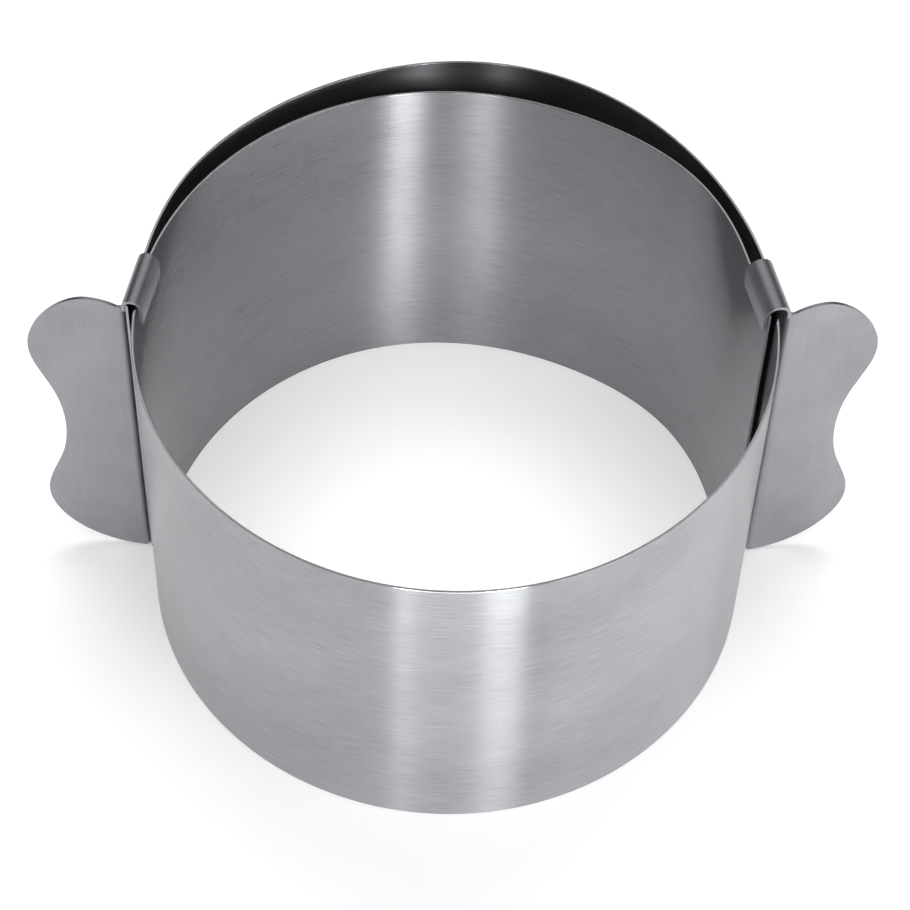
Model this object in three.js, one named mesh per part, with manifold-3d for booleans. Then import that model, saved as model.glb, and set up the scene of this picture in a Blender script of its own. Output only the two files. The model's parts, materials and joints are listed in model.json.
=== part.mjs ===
// Adjustable ring mould: one springy steel strip, wound one and a half turns, with a folded
// sheet handle on each end. Each handle hooks over the rim and guides the layer that slides past it.
// Millimetres and radians, +Z up. The strip is cut into short rigid spans, so that it can bend at
// the upright line between two spans and the ring can grow and shrink.
import * as THREE from "three";
import { mergeVertices } from "three/addons/utils/BufferGeometryUtils.js";
import Module from "manifold-3d";

// Strip
const stripHeight = 100;
const stripThickness = 0.6;
const frontRadius = 74.1;
const spanGap = 0.3;
const facetsPerSpan = 6;
const traceStep = 0.5;

// The front circle passes into the back radius a quarter turn from the front, over this length
const backBlend = 90;
// Each half turns a little more at the ring's side and a little less or more at its ease, over this length
const easeLength = 110;
// The strip's ends are flat where they lie against a handle
const endFlat = 17;
const endFlatLead = 6;
const endFlatBlend = 8;
const endTurnLength = 54;

// Bends are upright lines: the first is this far from the front centre, the last from the end
const firstBend = 13;
const endSpan = 20;

// The half that leaves the front centre to the right ends outside the ring, on the left handle
const outerHalf = {
  side: 1,
  length: 353.5,
  backRadius: 86,
  sideAt: 105,
  sideTurn: 0.046,
  easeAt: 219.5,
  easeTurn: -0.24,
  endTurn: 0.137,
  bends: 14,
};
// The half that leaves it to the left ends inside the ring, on the right handle
const innerHalf = {
  side: -1,
  length: 331.5,
  backRadius: 71,
  sideAt: 92,
  sideTurn: 0.056,
  easeAt: 265,
  easeTurn: 0.173,
  endTurn: 0.222,
  bends: 14,
};

// Handles
const sheet = 0.8;
const seatGap = 0.2;
const plateLength = 14.5;
const bendRadius = 1.2;
const bendSteps = 5;
const curveSteps = 14;
// The hook is a half round roll whose axis lies this far under the rim, and its lip ends this far under it
const rollDrop = 0.6;
const rollSteps = 12;
const lipDrop = 5.5;
// The wing stands out this far at its lobes and at its waist, and clears the table and tops the rim
const wingReach = 23.7;
const wingWaist = 17.2;
const wingFoot = 0.5;
const wingCrown = 0.7;
// Heights of a lobe's widest point and of its curve's handles, from the wing's nearer end
const wingLobe = 20.5;
const lobeStart = 10.5;
const lobeEnd = 29.8;
const waistStart = 34.8;
// How far out a lobe's curve leaves the straight foot and the rounded shoulder
const lobePull = 14.5;
const footStraight = 1.5;
const shoulder = 8.5;
// The dip where the wing's upper edge runs into the hook
const dipTop = 4.5;
const dipFoot = 1.6;
const dipDrop = 1.1;
// Spare length of the cutting shapes
const spare = 3;
// Room inside each hook, from the strip end's middle line to the far wall of the channel
const leftChannel = 2.9;
const rightChannel = 4.3;
// How far each wing is folded forward of square
const leftWingTurn = 0.087;
const rightWingTurn = 0.02;

const steel = { color: 0xb4b6b9, roughness: 0.34, metalness: 1 };
const handleSteel = { color: 0xbcbcc2, roughness: 0.38, metalness: 1 };

const wasm = await Module();
wasm.setup();

function toSolid(geometry) {
  geometry.deleteAttribute("normal");
  geometry.deleteAttribute("uv");
  const merged = mergeVertices(geometry, 1e-4);
  return new wasm.Manifold(
    new wasm.Mesh({
      numProp: 3,
      vertProperties: merged.attributes.position.array,
      triVerts: new Uint32Array(merged.index.array),
    }),
  );
}

function toGeometry(solid) {
  const mesh = solid.getMesh();
  const geometry = new THREE.BufferGeometry();
  geometry.setAttribute("position", new THREE.BufferAttribute(mesh.vertProperties, 3));
  geometry.setIndex(new THREE.BufferAttribute(mesh.triVerts, 1));
  geometry.computeVertexNormals();
  return geometry;
}

function smoothstep(t) {
  const c = Math.min(1, Math.max(0, t));
  return c * c * (3 - 2 * c);
}

// A raised cosine of unit area, so many millimetres long
function hump(offset, length) {
  const t = offset / length;
  return Math.abs(t) < 0.5 ? (1 + Math.cos(2 * Math.PI * t)) / length : 0;
}

// Curvature of a half of the strip, so far from the front centre
function curvature(half, along) {
  const quarter = (frontRadius * Math.PI) / 2;
  const mix = smoothstep((along - quarter) / backBlend + 0.5);
  const arc = (1 - mix) / frontRadius + mix / half.backRadius;
  const side = half.sideTurn * hump(along - half.sideAt, easeLength);
  const ease = half.easeTurn * hump(along - half.easeAt, easeLength);
  const flatStart = half.length - endFlat - endFlatLead;
  const flat = smoothstep((along - flatStart) / endFlatBlend);
  const turnAt = half.length - endFlat - endTurnLength / 2;
  return (arc + side - ease) * (1 - flat) + half.endTurn * hump(along - turnAt, endTurnLength);
}

// The middle line of a half, as stations of plan position and heading, evenly spaced
function trace(half) {
  const stations = [{ x: 0, y: -frontRadius, turn: 0 }];
  for (let i = 1; i * traceStep <= half.length; i++) {
    const last = stations[i - 1];
    const rate = (curvature(half, (i - 1) * traceStep) + curvature(half, i * traceStep)) / 2;
    const turn = last.turn + rate * traceStep;
    const heading = (last.turn + turn) / 2;
    stations.push({
      x: last.x + half.side * Math.cos(heading) * traceStep,
      y: last.y + Math.sin(heading) * traceStep,
      turn,
    });
  }
  return stations;
}

// Plan position and outward normal on a half, so far from the front centre
function stationAt(half, along) {
  const line = half.stations;
  const place = Math.min(Math.max(along / traceStep, 0), line.length - 1.000001);
  const i = Math.floor(place);
  const t = place - i;
  const turn = THREE.MathUtils.lerp(line[i].turn, line[i + 1].turn, t);
  return {
    point: new THREE.Vector2(
      THREE.MathUtils.lerp(line[i].x, line[i + 1].x, t),
      THREE.MathUtils.lerp(line[i].y, line[i + 1].y, t),
    ),
    normal: new THREE.Vector2(half.side * Math.sin(turn), -Math.cos(turn)),
    turn,
  };
}

// A sheet seen edge on: both faces are offset from the middle line, given as stations
function sheetShape(stations, thickness) {
  const face = (side) =>
    stations.map((s) => s.point.clone().addScaledVector(s.normal, (side * thickness) / 2));
  return new THREE.Shape([...face(1), ...face(-1).reverse()]);
}

// Stations along straight legs joined by round bends
function bentLine(corners, radius) {
  const stations = [];
  const leftOf = (d) => new THREE.Vector2(-d.y, d.x);
  corners.forEach((corner, i) => {
    const before = i > 0 ? corner.clone().sub(corners[i - 1]).normalize() : null;
    const after = i < corners.length - 1 ? corners[i + 1].clone().sub(corner).normalize() : null;
    if (!before || !after) {
      stations.push({ point: corner, normal: leftOf(before ?? after) });
      return;
    }
    const turn = Math.atan2(before.cross(after), before.dot(after));
    const hand = Math.sign(turn);
    const start = corner.clone().addScaledVector(before, -radius * Math.tan(Math.abs(turn) / 2));
    const centre = start.clone().addScaledVector(leftOf(before), hand * radius);
    for (let s = 0; s <= bendSteps; s++) {
      const normal = leftOf(before).rotateAround(new THREE.Vector2(), (turn * s) / bendSteps);
      stations.push({ point: centre.clone().addScaledVector(normal, -hand * radius), normal });
    }
  });
  return stations;
}

function extrude(shape, depth) {
  return new THREE.ExtrudeGeometry(shape, { depth, bevelEnabled: false, curveSegments: curveSteps });
}

// An upright section, drawn in X and Z, carried along +Y
function extrudeAlongY(shape, from, to) {
  return extrude(shape, to - from).rotateX(Math.PI / 2).translate(0, to, 0);
}

function addMesh(group, name, geometry, look) {
  const mesh = new THREE.Mesh(geometry, new THREE.MeshStandardMaterial(look));
  mesh.name = name;
  group.add(mesh);
  return mesh;
}

function bendAt(half, k) {
  return firstBend + (k * (half.length - endSpan - firstBend)) / (half.bends - 1);
}

// One span: the curved sheet between two distances on a half, at full height
function spanStations(half, from, to) {
  const stations = [];
  for (let i = 0; i <= facetsPerSpan; i++) {
    stations.push(stationAt(half, THREE.MathUtils.lerp(from, to, i / facetsPerSpan)));
  }
  return stations;
}

function makeStrip() {
  const strip = new THREE.Group();
  const reach = firstBend - spanGap / 2;
  const frontLeft = spanStations(innerHalf, 0, reach).reverse().slice(0, -1);
  const front = [...frontLeft, ...spanStations(outerHalf, 0, reach)];
  addMesh(strip, "strip_front", extrude(sheetShape(front, stripThickness), stripHeight), steel);
  for (const [word, half] of [["outer", outerHalf], ["inner", innerHalf]]) {
    for (let k = 0; k < half.bends; k++) {
      const from = bendAt(half, k) + spanGap / 2;
      const to = k + 1 < half.bends ? bendAt(half, k + 1) - spanGap / 2 : half.length;
      const section = sheetShape(spanStations(half, from, to), stripThickness);
      const name = `strip_${word}_${String(k + 1).padStart(2, "0")}`;
      addMesh(strip, name, extrude(section, stripHeight), steel);
    }
  }
  return strip;
}

// The wing's outline in X and Z, from the plate outwards: two round lobes and a waist between them
function wingOutline(plate, side) {
  const mid = (wingFoot + stripHeight + wingCrown) / 2;
  const top = stripHeight + wingCrown;
  const lobe = top - wingLobe;
  const out = (x) => side * (plate + x);
  const reach = out(wingReach);
  const waist = out(wingWaist);
  const outline = new THREE.Shape();
  outline.moveTo(out(-spare), wingFoot);
  outline.lineTo(out(footStraight), wingFoot);
  outline.bezierCurveTo(out(lobePull), wingFoot, reach, lobeStart, reach, wingLobe);
  outline.bezierCurveTo(reach, lobeEnd, waist, waistStart, waist, mid);
  outline.bezierCurveTo(waist, top - waistStart, reach, top - lobeEnd, reach, lobe);
  outline.bezierCurveTo(reach, top - lobeStart, out(lobePull), top, out(shoulder), top);
  outline.quadraticCurveTo(out(dipTop), top, out(dipFoot), stripHeight - dipDrop);
  outline.lineTo(out(-spare), stripHeight - dipDrop);
  return outline;
}

// The hook's middle line in X and Z: up the plate, over the rim in a half circle and down the lip
function hookLine(inside, outside, at) {
  const radius = (outside - inside) / 2;
  const axis = stripHeight - rollDrop;
  const stations = [{ point: at(outside, stripHeight - 2 * dipDrop), normal: at(1, 0) }];
  for (let s = 0; s <= rollSteps; s++) {
    const angle = (Math.PI * s) / rollSteps;
    const normal = at(Math.cos(angle), Math.sin(angle));
    stations.push({ point: at(inside + radius, axis).addScaledVector(normal, radius), normal });
  }
  stations.push({ point: at(inside, stripHeight - lipDrop), normal: at(-1, 0) });
  return stations;
}

// A handle in its own frame: X across the wall (outwards is +side), Y back along it from the fold.
// inside and outside are the middle planes of the hook's lip and of the plate.
function makeHandle(side, inside, outside, wingTurn) {
  const at = (x, y) => new THREE.Vector2(side * x, y);
  const fold = sheet / 2;
  const reach = wingReach + spare;
  const tip = at(outside + reach, fold - reach * Math.tan(wingTurn));
  const legs = [at(outside, plateLength), at(outside, fold), tip];
  const top = stripHeight + wingCrown + spare;
  const blank = toSolid(extrude(sheetShape(bentLine(legs, bendRadius), sheet), top));
  const outline = toSolid(extrudeAlongY(wingOutline(outside, side), -2 * spare, plateLength + spare));
  const hookShape = sheetShape(hookLine(inside, outside, at), sheet);
  const hook = toSolid(extrudeAlongY(hookShape, 0, plateLength));
  return toGeometry(blank.intersect(outline).add(hook));
}

// A handle stands at its strip end, turned so that its Y runs back along the flat end
function placeHandle(mould, name, half, side, inside, outside, wingTurn) {
  const handle = makeHandle(side, inside, outside, wingTurn);
  const mesh = addMesh(mould, name, handle, handleSteel);
  const end = stationAt(half, half.length);
  mesh.position.set(end.point.x, end.point.y, 0);
  mesh.rotation.z = half.side * (end.turn - (3 * Math.PI) / 2);
}

outerHalf.stations = trace(outerHalf);
innerHalf.stations = trace(innerHalf);

const seat = stripThickness / 2 + seatGap + sheet / 2;
const mould = new THREE.Group();
const assembly = new THREE.Group();
assembly.add(makeStrip());
const leftLip = -leftChannel - sheet / 2;
const rightPlate = rightChannel + sheet / 2;
placeHandle(assembly, "left_handle", outerHalf, -1, leftLip, seat, leftWingTurn);
placeHandle(assembly, "right_handle", innerHalf, 1, -seat, rightPlate, rightWingTurn);

// The origin is on the table, under the middle of the outline
const box = new THREE.Box3().setFromObject(assembly, true);
const middle = box.getCenter(new THREE.Vector3());
assembly.position.set(-middle.x, -middle.y, 0);
mould.add(assembly);

export default mould;
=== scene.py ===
# Looks for the adjustable ring mould: brushed strip, folded handles, camera and studio.
import bmesh
import bpy
import json
import math
import numpy as np
from mathutils import Matrix, Vector


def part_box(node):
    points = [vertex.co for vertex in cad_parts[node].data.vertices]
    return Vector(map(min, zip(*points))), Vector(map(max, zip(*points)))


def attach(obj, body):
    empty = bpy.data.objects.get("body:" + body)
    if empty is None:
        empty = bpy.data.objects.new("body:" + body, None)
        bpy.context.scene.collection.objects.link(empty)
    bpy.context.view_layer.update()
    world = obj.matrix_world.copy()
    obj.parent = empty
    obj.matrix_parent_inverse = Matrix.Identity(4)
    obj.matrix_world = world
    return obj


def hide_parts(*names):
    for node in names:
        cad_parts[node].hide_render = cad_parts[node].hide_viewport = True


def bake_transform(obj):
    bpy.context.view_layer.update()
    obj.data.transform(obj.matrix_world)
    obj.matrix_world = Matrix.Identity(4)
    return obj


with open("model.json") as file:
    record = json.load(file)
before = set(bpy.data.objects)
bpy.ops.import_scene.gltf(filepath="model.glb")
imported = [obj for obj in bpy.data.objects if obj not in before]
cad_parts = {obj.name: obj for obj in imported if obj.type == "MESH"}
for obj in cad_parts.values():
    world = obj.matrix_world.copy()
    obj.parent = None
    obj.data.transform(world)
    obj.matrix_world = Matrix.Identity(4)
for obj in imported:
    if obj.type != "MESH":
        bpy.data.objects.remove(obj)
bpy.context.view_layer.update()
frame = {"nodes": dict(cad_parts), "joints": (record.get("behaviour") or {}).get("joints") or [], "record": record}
nodes = frame["nodes"]
joints = frame["joints"]
scene = bpy.context.scene
mm = 0.001
print("stage: frame loaded,", len(nodes), "nodes")


# Shader maths: a socket that adds, multiplies and feeds other nodes
class Wire:
    def __init__(self, tree, socket=None):
        self.tree = tree
        self.socket = socket

    def node(self, kind, settings=None, inputs=None, output=0):
        made = self.tree.nodes.new(kind)
        for key, value in (settings or {}).items():
            setattr(made, key, value)
        for key, value in (inputs or {}).items():
            self.feed(made.inputs[key], value)
        return Wire(self.tree, made.outputs[output])

    def feed(self, target, value):
        if isinstance(value, Wire):
            self.tree.links.new(value.socket, target)
        else:
            target.default_value = value

    def maths(self, operation, first, second=0.0):
        return self.node("ShaderNodeMath", {"operation": operation}, {0: first, 1: second})

    def __add__(self, other):
        return self.maths("ADD", self, other)

    def __radd__(self, other):
        return self.maths("ADD", other, self)

    def __sub__(self, other):
        return self.maths("SUBTRACT", self, other)

    def __rsub__(self, other):
        return self.maths("SUBTRACT", other, self)

    def __mul__(self, other):
        return self.maths("MULTIPLY", self, other)

    def __rmul__(self, other):
        return self.maths("MULTIPLY", other, self)

    def clamp(self, low, high):
        return self.maths("MINIMUM", self.maths("MAXIMUM", self, low), high)

    def ramp(self, low, high, toLow=0.0, toHigh=1.0):
        inputs = {0: self, 1: low, 2: high, 3: toLow, 4: toHigh}
        return self.node("ShaderNodeMapRange", {"interpolation_type": "SMOOTHSTEP"}, inputs)

    # How far a 0 to 1 pattern swings about its middle
    def swing(self, amount):
        return (self - 0.5) * amount


def newMaterial(name):
    material = bpy.data.materials.new(name)
    material.use_nodes = True
    tree = material.node_tree
    tree.nodes.clear()
    return material, Wire(tree)


def showSurface(wire, shader):
    out = wire.tree.nodes.new("ShaderNodeOutputMaterial")
    wire.feed(out.inputs["Surface"], shader)


def noise(wire, vector, row):
    return wire.node("ShaderNodeTexNoise", {}, {
        "Vector": vector,
        "Scale": row["scale"],
        "Detail": row["detail"],
        "Roughness": row["rough"],
    })


def mixColours(wire, tone, look):
    return wire.node(
        "ShaderNodeMix", {"data_type": "RGBA"},
        {0: tone.clamp(0.0, 1.0), 6: look["dark"], 7: look["light"]}, 2,
    )


# Brushed strip: grain along the sheet, long lines, cloudy handling marks and cut rims with a painted highlight.
# Along and across are repeats in a metre, seed sets the two faces apart,
# tone is a pattern's swing in the colour and wear its swing in the roughness.
stripLook = {
    "dark": (0.278, 0.283, 0.297, 1),
    "light": (0.43, 0.436, 0.454, 1),
    # inside: colour factor for the inner face, partly a duller finish and partly painted shade
    "inside": 0.73,
    "roughness": 0.24,
    "insideRoughness": 0.28,
    "anisotropy": 1.0,
    "anisotropyTurn": 0.25,
    "height": 100 * mm,
    "rim": 0.25 * mm,
    "rimFull": 0.05 * mm,
    # the rim's colour swing is a painted highlight along the cut edges
    "rimPaintedHighlight": 0.6,
    "rimPolish": 0.06,
    "bump": 0.02,
    "bumpDepth": 0.02 * mm,
    "grain": {"along": 140.0, "across": 2600.0, "seed": 7.0, "scale": 1.0, "detail": 4.0, "rough": 0.6},
    "lines": {"along": 8.0, "across": 1400.0, "seed": 3.0, "scale": 1.0, "detail": 3.0, "rough": 0.6},
    "marks": {"along": 22.0, "across": 30.0, "seed": 5.0, "scale": 1.0, "detail": 4.0, "rough": 0.55},
    "tone": {"grain": 1.7, "lines": 0.3, "marks": 1.1},
    "wear": {"lines": 0.02, "marks": 0.04},
}


def makeStripMaterial(look):
    material, wire = newMaterial("brushedStrip")
    along = wire.node("ShaderNodeAttribute", {"attribute_name": "along"}, {}, "Fac")
    place = wire.node("ShaderNodeTexCoord", {}, {}, "Object")
    height = wire.node("ShaderNodeSeparateXYZ", {}, {"Vector": place}, "Z")
    side = wire.node("ShaderNodeAttribute", {"attribute_name": "face"}, {}, "Fac")  # 1 outside, 0 inside

    def sheetPattern(row):
        stretched = wire.node(
            "ShaderNodeCombineXYZ", {},
            {0: along * row["along"], 1: height * row["across"], 2: side * row["seed"]},
        )
        return noise(wire, stretched, row)

    grain = sheetPattern(look["grain"])
    lines = sheetPattern(look["lines"])
    marks = sheetPattern(look["marks"])
    # Top and foot cut edges: the lighter colour there is a painted highlight, and the same mask also polishes the
    # roughness
    top = height.ramp(look["height"] - look["rim"], look["height"] - look["rimFull"])
    foot = height.ramp(look["rimFull"], look["rim"], 1.0, 0.0)
    rim = wire.maths("MAXIMUM", top, foot)
    tone = 0.5 + grain.swing(look["tone"]["grain"]) + lines.swing(look["tone"]["lines"])
    tone = tone + marks.swing(look["tone"]["marks"]) + rim * look["rimPaintedHighlight"]
    # The inner face's colour is multiplied down: partly a duller finish, partly painted shade
    insideDulledAndShaded = wire.node(
        "ShaderNodeMix", {"data_type": "RGBA", "blend_type": "MULTIPLY"},
        {0: 1.0 - side, 6: mixColours(wire, tone, look), 7: (look["inside"],) * 3 + (1,)}, 2,
    )
    base = look["insideRoughness"] + side * (look["roughness"] - look["insideRoughness"])
    worn = base + marks.swing(look["wear"]["marks"]) + lines.swing(look["wear"]["lines"])
    bump = wire.node(
        "ShaderNodeBump", {},
        {"Strength": look["bump"], "Distance": look["bumpDepth"], "Height": grain},
    )
    shader = wire.node("ShaderNodeBsdfPrincipled", {}, {
        "Base Color": insideDulledAndShaded,
        "Roughness": worn - rim * look["rimPolish"],
        "Normal": bump,
        "Metallic": 1.0,
        "Anisotropic": look["anisotropy"],
        "Anisotropic Rotation": look["anisotropyTurn"],
    })
    showSurface(wire, shader)
    return material


# Handle sheet: fine satin with upright grain and soft clouds, a little cooler than the strip
handleLook = {
    "dark": (0.235, 0.24, 0.257, 1),
    "light": (0.35, 0.356, 0.378, 1),
    "roughness": 0.42,
    "bump": 0.08,
    "bumpDepth": 0.02 * mm,
    "stretch": (1500.0, 1500.0, 60.0),
    "grain": {"scale": 1.0, "detail": 4.0, "rough": 0.6},
    "cloud": {"scale": 70.0, "detail": 4.0, "rough": 0.55},
    "tone": {"grain": 0.6, "cloud": 0.9},
    "wear": {"grain": 0.1, "cloud": 0.12},
}


def makeHandleMaterial(look):
    material, wire = newMaterial("satinHandle")
    place = wire.node("ShaderNodeTexCoord", {}, {}, "Object")
    stretched = wire.node("ShaderNodeMapping", {}, {"Vector": place, "Scale": look["stretch"]})
    grain = noise(wire, stretched, look["grain"])
    cloud = noise(wire, place, look["cloud"])
    tone = 0.5 + grain.swing(look["tone"]["grain"]) + cloud.swing(look["tone"]["cloud"])
    worn = look["roughness"] + cloud.swing(look["wear"]["cloud"]) + grain.swing(look["wear"]["grain"])
    bump = wire.node(
        "ShaderNodeBump", {},
        {"Strength": look["bump"], "Distance": look["bumpDepth"], "Height": grain},
    )
    shader = wire.node("ShaderNodeBsdfPrincipled", {}, {
        "Base Color": mixColours(wire, tone, look),
        "Roughness": worn,
        "Normal": bump,
        "Metallic": 1.0,
    })
    showSurface(wire, shader)
    return material


stripMaterial = makeStripMaterial(stripLook)
handleMaterial = makeHandleMaterial(handleLook)
print("stage: materials made")


# The strip's middle line, read from the spans' lower edges, from the outer end to the inner end
middleLine = {"footBand": 0.01 * mm, "knotGap": 1.0 * mm, "farOff": 1.0}


def spanStations(name):
    ring = {}
    for vertex in nodes[name].data.vertices:
        if vertex.co.z < middleLine["footBand"]:
            ring[tuple(round(c, 6) for c in vertex.co[:2])] = np.array(vertex.co[:2])
    points = np.array(list(ring.values()))
    gaps = np.linalg.norm(points[:, None] - points[None, :], axis=2)
    np.fill_diagonal(gaps, middleLine["farOff"])  # no point is its own mate
    mates = gaps.argmin(axis=1)
    middles = {}
    for i, j in enumerate(mates):
        middles[min(i, int(j))] = (points[i] + points[j]) / 2
    return np.array(list(middles.values()))


def sortFrom(points, start):
    return points[np.argsort(np.linalg.norm(points - start, axis=1))]


chains = {"outer": [], "inner": []}
for joint in joints:
    body = joint["child"]
    span = next(n for n in frame["record"]["behaviour"]["bodies"][body] if n.startswith("strip_"))
    points = sortFrom(spanStations(span), np.array(joint["pos_m"][:2]))
    chains[span.split("_")[1]].append({"node": span, "body": body, "points": points})

frontPoints = spanStations("strip_front")
frontPoints = frontPoints[np.argsort(frontPoints[:, 0])]
links = []
for link in reversed(chains["outer"]):
    links.append({**link, "points": link["points"][::-1]})
links.append({"node": "strip_front", "body": "front", "points": frontPoints[::-1]})
links.extend(chains["inner"])

knots = [links[0]["points"][0]]
for link in links:
    for point in link["points"]:
        if np.linalg.norm(point - knots[-1]) > middleLine["knotGap"]:
            knots.append(point)
knots[-1] = links[-1]["points"][-1]
knots = np.array(knots)
chord = np.concatenate([[0], np.cumsum(np.linalg.norm(np.diff(knots, axis=0), axis=1))])


# A natural cubic spline through the knots: smooth in place, heading and curvature
def splineBendings(at, values):
    count = len(at)
    step = np.diff(at)
    system = np.zeros((count, count))
    wanted = np.zeros(values.shape)
    system[0, 0] = system[-1, -1] = 1
    for i in range(1, count - 1):
        system[i, i - 1] = step[i - 1]
        system[i, i] = 2 * (step[i - 1] + step[i])
        system[i, i + 1] = step[i]
        ahead = (values[i + 1] - values[i]) / step[i]
        behind = (values[i] - values[i - 1]) / step[i - 1]
        wanted[i] = 6 * (ahead - behind)
    return np.linalg.solve(system, wanted)


bendings = splineBendings(chord, knots)


def lineAt(s):
    i = np.clip(np.searchsorted(chord, s) - 1, 0, len(chord) - 2)
    h = (chord[i + 1] - chord[i])[:, None]
    a = (chord[i + 1] - s)[:, None] / h
    b = 1 - a
    curve = ((a**3 - a) * bendings[i] + (b**3 - b) * bendings[i + 1]) * h**2 / 6
    return a * knots[i] + b * knots[i + 1] + curve


for link in links:
    first = np.linalg.norm(knots - link["points"][0], axis=1).argmin()
    last = np.linalg.norm(knots - link["points"][-1], axis=1).argmin()
    link["middle"] = (chord[first] + chord[last]) / 2
print("stage: middle line,", len(knots), "knots,", round(chord[-1], 4), "m")


# The sweep: a sheet section with rounded cut edges, carried along a line
stripShape = {
    "thickness": 0.6 * mm,
    "height": 100 * mm,
    "edge": 0.14 * mm,
    "edgeSteps": 2,
    "step": 0.6 * mm,
    "fewestSteps": 4,
    "crease": 12,
    "tangentBox": 0.09,
}


def makeSweepTree():
    tree = bpy.data.node_groups.new("sheetSweep", "GeometryNodeTree")
    sockets = tree.interface
    sockets.new_socket("Geometry", in_out="INPUT", socket_type="NodeSocketGeometry")
    keys = {}
    for label in ("Thickness", "Height", "Edge"):
        keys[label] = sockets.new_socket(label, in_out="INPUT", socket_type="NodeSocketFloat").identifier
    keys["Material"] = sockets.new_socket(
        "Material", in_out="INPUT", socket_type="NodeSocketMaterial"
    ).identifier
    sockets.new_socket("Geometry", in_out="OUTPUT", socket_type="NodeSocketGeometry")
    group = tree.nodes.new("NodeGroupInput")
    wire = Wire(tree)
    source = {socket.name: Wire(tree, socket) for socket in group.outputs if socket.name}
    line = wire.node("GeometryNodeMeshToCurve", {}, {"Mesh": source["Geometry"]})
    upright = wire.node("GeometryNodeSetCurveNormal", {"mode": "Z_UP"}, {"Curve": line})
    section = wire.node(
        "GeometryNodeCurvePrimitiveQuadrilateral", {"mode": "RECTANGLE"},
        {"Width": source["Thickness"], "Height": source["Height"]},
    )
    eased = wire.node(
        "GeometryNodeFilletCurve", {"mode": "POLY"},
        {"Curve": section, "Count": stripShape["edgeSteps"], "Radius": source["Edge"]},
    )
    swept = wire.node(
        "GeometryNodeCurveToMesh", {},
        {"Curve": upright, "Profile Curve": eased, "Fill Caps": True},
    )
    solid = wire.node("GeometryNodeRealizeInstances", {}, {"Geometry": swept})
    dressed = wire.node(
        "GeometryNodeSetMaterial", {}, {"Geometry": solid, "Material": source["Material"]}
    )
    result = tree.nodes.new("NodeGroupOutput")
    wire.feed(result.inputs["Geometry"], dressed)
    return tree, keys


sweepTree, sweepKeys = makeSweepTree()
ringCentre = Vector((*((knots.min(axis=0) + knots.max(axis=0)) / 2), stripShape["height"] / 2))


# Faces out, smooth along the strip, and one tangent field round the ring's centre
def finishBand(band):
    mesh = band.data
    shell = bmesh.new()
    shell.from_mesh(mesh)
    if shell.calc_volume(signed=True) < 0:
        bmesh.ops.reverse_faces(shell, faces=shell.faces)
    layer = shell.faces.layers.float.new("face")
    for face in shell.faces:
        outward = face.calc_center_median() - ringCentre
        face[layer] = 1.0 if face.normal.xy.dot(outward.xy) > 0 else 0.0
    shell.to_mesh(mesh)
    shell.free()
    mesh.shade_smooth()
    mesh.set_sharp_from_angle(angle=math.radians(stripShape["crease"]))
    mesh.use_auto_texspace = False
    mesh.texspace_location = ringCentre
    mesh.texspace_size = (stripShape["tangentBox"],) * 3


def sweepBand(name, start, end):
    count = max(stripShape["fewestSteps"], int(round((end - start) / stripShape["step"])))
    places = np.linspace(start, end, count + 1)
    plan = lineAt(places)
    mesh = bpy.data.meshes.new(name)
    middle = stripShape["height"] / 2
    mesh.from_pydata([(x, y, middle) for x, y in plan], [(i, i + 1) for i in range(count)], [])
    along = mesh.attributes.new("along", "FLOAT", "POINT")
    along.data.foreach_set("value", places.astype(np.float32))
    band = bpy.data.objects.new(name, mesh)
    scene.collection.objects.link(band)
    modifier = band.modifiers.new("sweep", "NODES")
    modifier.node_group = sweepTree
    modifier[sweepKeys["Thickness"]] = stripShape["thickness"]
    modifier[sweepKeys["Height"]] = stripShape["height"]
    modifier[sweepKeys["Edge"]] = stripShape["edge"]
    modifier[sweepKeys["Material"]] = stripMaterial
    graph = bpy.context.evaluated_depsgraph_get()
    band.data = bpy.data.meshes.new_from_object(
        band.evaluated_get(graph), preserve_all_data_layers=True, depsgraph=graph
    )
    band.modifiers.remove(modifier)
    finishBand(band)
    return band


lastIndex = len(links) - 1
frontIndex = next(i for i, link in enumerate(links) if link["node"] == "strip_front")


def bandName(i):
    if i < frontIndex:
        return "band_outer_%02d" % (frontIndex - i)
    return "band_inner_%02d" % (i - frontIndex + 1)


# Each band runs from the middle of one span to the middle of the next, so the sheet has no breaks
for i in range(lastIndex):
    before = links[i]
    after = links[i + 1]
    band = sweepBand(bandName(i), before["middle"], after["middle"])
    ends = lineAt(np.array([before["middle"], after["middle"]]))
    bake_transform(band)
    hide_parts(before["node"], after["node"])

for name, link, start, end in (
    ("band_outer_end", links[0], 0.0, links[0]["middle"]),
    ("band_inner_end", links[-1], links[-1]["middle"], chord[-1]),
):
    band = sweepBand(name, start, end)
    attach(band, link["body"])
    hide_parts(link["node"])
print("stage: strip swept,", lastIndex + 2, "bands")


# Folded handles: the CAD sheet with eased edges, angles in degrees
handleShape = {
    "weld": 0.005 * mm,
    "flat": 1,
    "edge": 0.16 * mm,
    "edgeSteps": 2,
    "edgeFrom": 35,
    "crease": 25,
}


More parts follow.
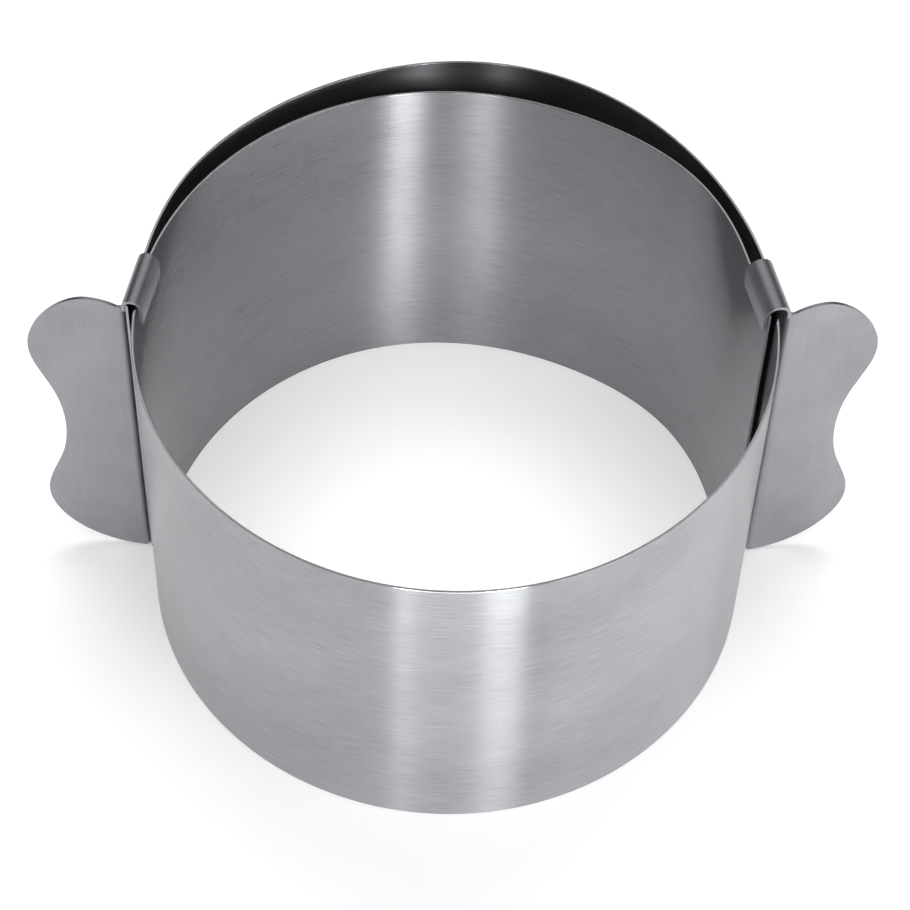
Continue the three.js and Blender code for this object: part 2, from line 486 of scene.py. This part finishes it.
def makeHandle(name, node, body):
    mesh = nodes[node].data.copy()
    handle = bpy.data.objects.new(name, mesh)
    scene.collection.objects.link(handle)
    shell = bmesh.new()
    shell.from_mesh(mesh)
    bmesh.ops.remove_doubles(shell, verts=shell.verts, dist=handleShape["weld"])
    flat = math.radians(handleShape["flat"])
    bmesh.ops.dissolve_limit(shell, angle_limit=flat, verts=shell.verts, edges=shell.edges)
    shell.to_mesh(mesh)
    shell.free()
    bevel = handle.modifiers.new("edge", "BEVEL")
    bevel.width = handleShape["edge"]
    bevel.segments = handleShape["edgeSteps"]
    bevel.limit_method = "ANGLE"
    bevel.angle_limit = math.radians(handleShape["edgeFrom"])
    graph = bpy.context.evaluated_depsgraph_get()
    handle.data = bpy.data.meshes.new_from_object(handle.evaluated_get(graph), depsgraph=graph)
    handle.modifiers.clear()
    handle.data.materials.clear()
    handle.data.materials.append(handleMaterial)
    handle.data.shade_smooth()
    handle.data.set_sharp_from_angle(angle=math.radians(handleShape["crease"]))
    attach(handle, body)
    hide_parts(node)


makeHandle("handle_left", "left_handle", "left_end")
makeHandle("handle_right", "right_handle", "right_end")
print("stage: handles made")


# Camera at the photograph's place: looking down at the front wall, rolled a little
view = {
    "place": (1.23 * mm, -344.12 * mm, 647.66 * mm),
    "down": 55.249,
    "roll": 2.175,
    "lens": 119.843,
    "sensor": 36,
    "near": 0.01,
}
frontLow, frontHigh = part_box("strip_front")
frontFoot = Vector(((frontLow.x + frontHigh.x) / 2, frontLow.y, 0))


def makeCamera():
    down = math.radians(view["down"])
    roll = math.radians(view["roll"])
    forward = Vector((0, math.cos(down), -math.sin(down)))
    right = Vector((1, 0, 0))
    up = Vector((0, math.sin(down), math.cos(down)))
    turnedRight = math.cos(roll) * right + math.sin(roll) * up
    turnedUp = math.cos(roll) * up - math.sin(roll) * right
    columns = Matrix((turnedRight, turnedUp, -forward)).transposed().to_4x4()
    camera = bpy.data.objects.new("camera", bpy.data.cameras.new("camera"))
    scene.collection.objects.link(camera)
    camera.matrix_world = Matrix.Translation(frontFoot + Vector(view["place"])) @ columns
    camera.data.lens = view["lens"]
    camera.data.sensor_width = view["sensor"]
    camera.data.clip_start = view["near"]
    scene.camera = camera


makeCamera()
print("stage: camera placed")


# Studio: a pale floor, and a world that is bright in front and dark behind.
# The world goes from front to back between the two edges, as shares of the way to the back.
studio = {
    "floor": 0.8,
    "floorSize": 60,
    "floorDrop": 0.05 * mm,
    "floorGlow": 0.325,
    "front": 0.38,
    "back": 0.07,
    "frontEdge": -0.4,
    "backEdge": 0.8,
    "aim": (0, 0, 0.05),
    "frontRadius": 74.4 * mm,
}


# Rays that see the floor's own glow: straight ones, mirrored ones and those through something clear
def seenShare(wire):
    sees = wire.node("ShaderNodeLightPath", {}, {}, "Is Camera Ray")
    mirrored = wire.node("ShaderNodeLightPath", {}, {}, "Is Glossy Ray")
    through = wire.node("ShaderNodeLightPath", {}, {}, "Is Transmission Ray")
    return sees + mirrored + through


def makeFloor():
    bpy.ops.mesh.primitive_plane_add(size=studio["floorSize"], location=(0, 0, -studio["floorDrop"]))
    floor = bpy.context.object
    floor.name = "floor"
    material, wire = newMaterial("paleFloor")
    glowing = seenShare(wire) * studio["floorGlow"]
    pale = wire.node("ShaderNodeBsdfDiffuse", {}, {"Color": (studio["floor"],) * 3 + (1,)})
    glow = wire.node("ShaderNodeEmission", {}, {"Strength": glowing})
    showSurface(wire, wire.node("ShaderNodeAddShader", {}, {0: pale, 1: glow}))
    floor.data.materials.append(material)


def makeWorld():
    world = bpy.data.worlds.new("studio")
    world.use_nodes = True
    scene.world = world
    world.node_tree.nodes.clear()
    wire = Wire(world.node_tree)
    toward = wire.node("ShaderNodeTexCoord", {}, {}, "Generated")
    depth = wire.node("ShaderNodeSeparateXYZ", {}, {"Vector": toward}, "Y")
    strength = depth.ramp(studio["frontEdge"], studio["backEdge"], studio["front"], studio["back"])
    back = wire.node("ShaderNodeBackground", {}, {"Color": (1, 1, 1, 1), "Strength": strength})
    out = wire.tree.nodes.new("ShaderNodeOutputWorld")
    wire.feed(out.inputs["Surface"], back)


# Panels: degrees round from the front and up from the floor, distance and size in metres, watts.
# A panel that doesn't fill is seen in mirrored light only; one that doesn't shine isn't mirrored.
panels = {
    "overhead": {"turn": 0, "rise": 88, "far": 2.0, "size": (2.4, 2.4), "power": 28, "shines": False},
    "rear": {"turn": 180, "rise": 68, "far": 1.6, "size": (1.2, 0.6), "power": 11, "shines": False},
    "rearEdge": {"turn": 180, "rise": 56, "far": 1.6, "size": (1.6, 0.6), "power": 4, "fills": False},
    "sideRight": {"turn": 58, "rise": 8, "far": 0.9, "size": (1.0, 0.3), "power": 7, "fills": False},
    "highLeft": {"turn": -11, "rise": 38, "far": 1.3, "size": (0.03, 0.6), "power": 6, "fills": False},
    "highRight": {"turn": 18, "rise": 38, "far": 1.3, "size": (0.03, 0.6), "power": 11, "fills": False},
}

# Glint cards for the upright streaks, in mirrored light only: low in front of the ring for the front wall,
# just inside the front wall for the back one. Millimetres from the front circle's centre, degrees, watts.
glints = {
    "frontLeft": {"x": -54.5, "y": -315, "turn": -9.8, "low": 2, "high": 86, "width": 25, "power": 0.1},
    "frontMiddle": {"x": 8, "y": -320, "turn": 1.5, "low": 2, "high": 86, "width": 100, "power": 0.175},
    "frontRight": {"x": 85, "y": -308, "turn": 15.4, "low": 2, "high": 86, "width": 58, "power": 0.31},
    "insideRight": {"x": 22, "y": -64, "turn": 16, "low": 2, "high": 98, "width": 15, "power": 0.036},
    "insideMiddle": {"x": -4, "y": -72, "turn": -3, "low": 45, "high": 98, "width": 5, "power": 0.006},
    "insideLeft": {"x": -15, "y": -68, "turn": -12, "low": 2, "high": 98, "width": 12, "power": 0.014},
}


def makeCard(name, place, facing, size, power):
    light = bpy.data.lights.new(name, "AREA")
    light.shape = "RECTANGLE"
    light.size = size[0]
    light.size_y = size[1]
    light.energy = power
    card = bpy.data.objects.new(name, light)
    scene.collection.objects.link(card)
    card.location = place
    card.rotation_mode = "QUATERNION"
    card.rotation_quaternion = facing.to_track_quat("-Z", "Y")
    card.visible_camera = False
    return card


def makePanel(name, turn, rise, far, size, power, fills=True, shines=True):
    a = math.radians(turn)
    e = math.radians(rise)
    toward = Vector((math.sin(a) * math.cos(e), -math.cos(a) * math.cos(e), math.sin(e)))
    card = makeCard(name, Vector(studio["aim"]) + toward * far, -toward, size, power)
    card.visible_diffuse = fills
    card.visible_glossy = shines


def makeGlint(name, x, y, turn, low, high, width, power):
    a = math.radians(turn)
    facing = Vector((-math.sin(a), math.cos(a), 0))
    frontCentre = frontFoot + Vector((0, studio["frontRadius"], 0))
    place = frontCentre + Vector((x, y, (low + high) / 2)) * mm
    card = makeCard(name, place, facing, (width * mm, (high - low) * mm), power)
    card.visible_diffuse = False


makeFloor()
makeWorld()
for name, row in panels.items():
    makePanel(name, **row)
for name, row in glints.items():
    makeGlint(name, **row)
scene.view_settings.view_transform = "Standard"
print("stage: studio made,", len(panels) + len(glints), "lamps")
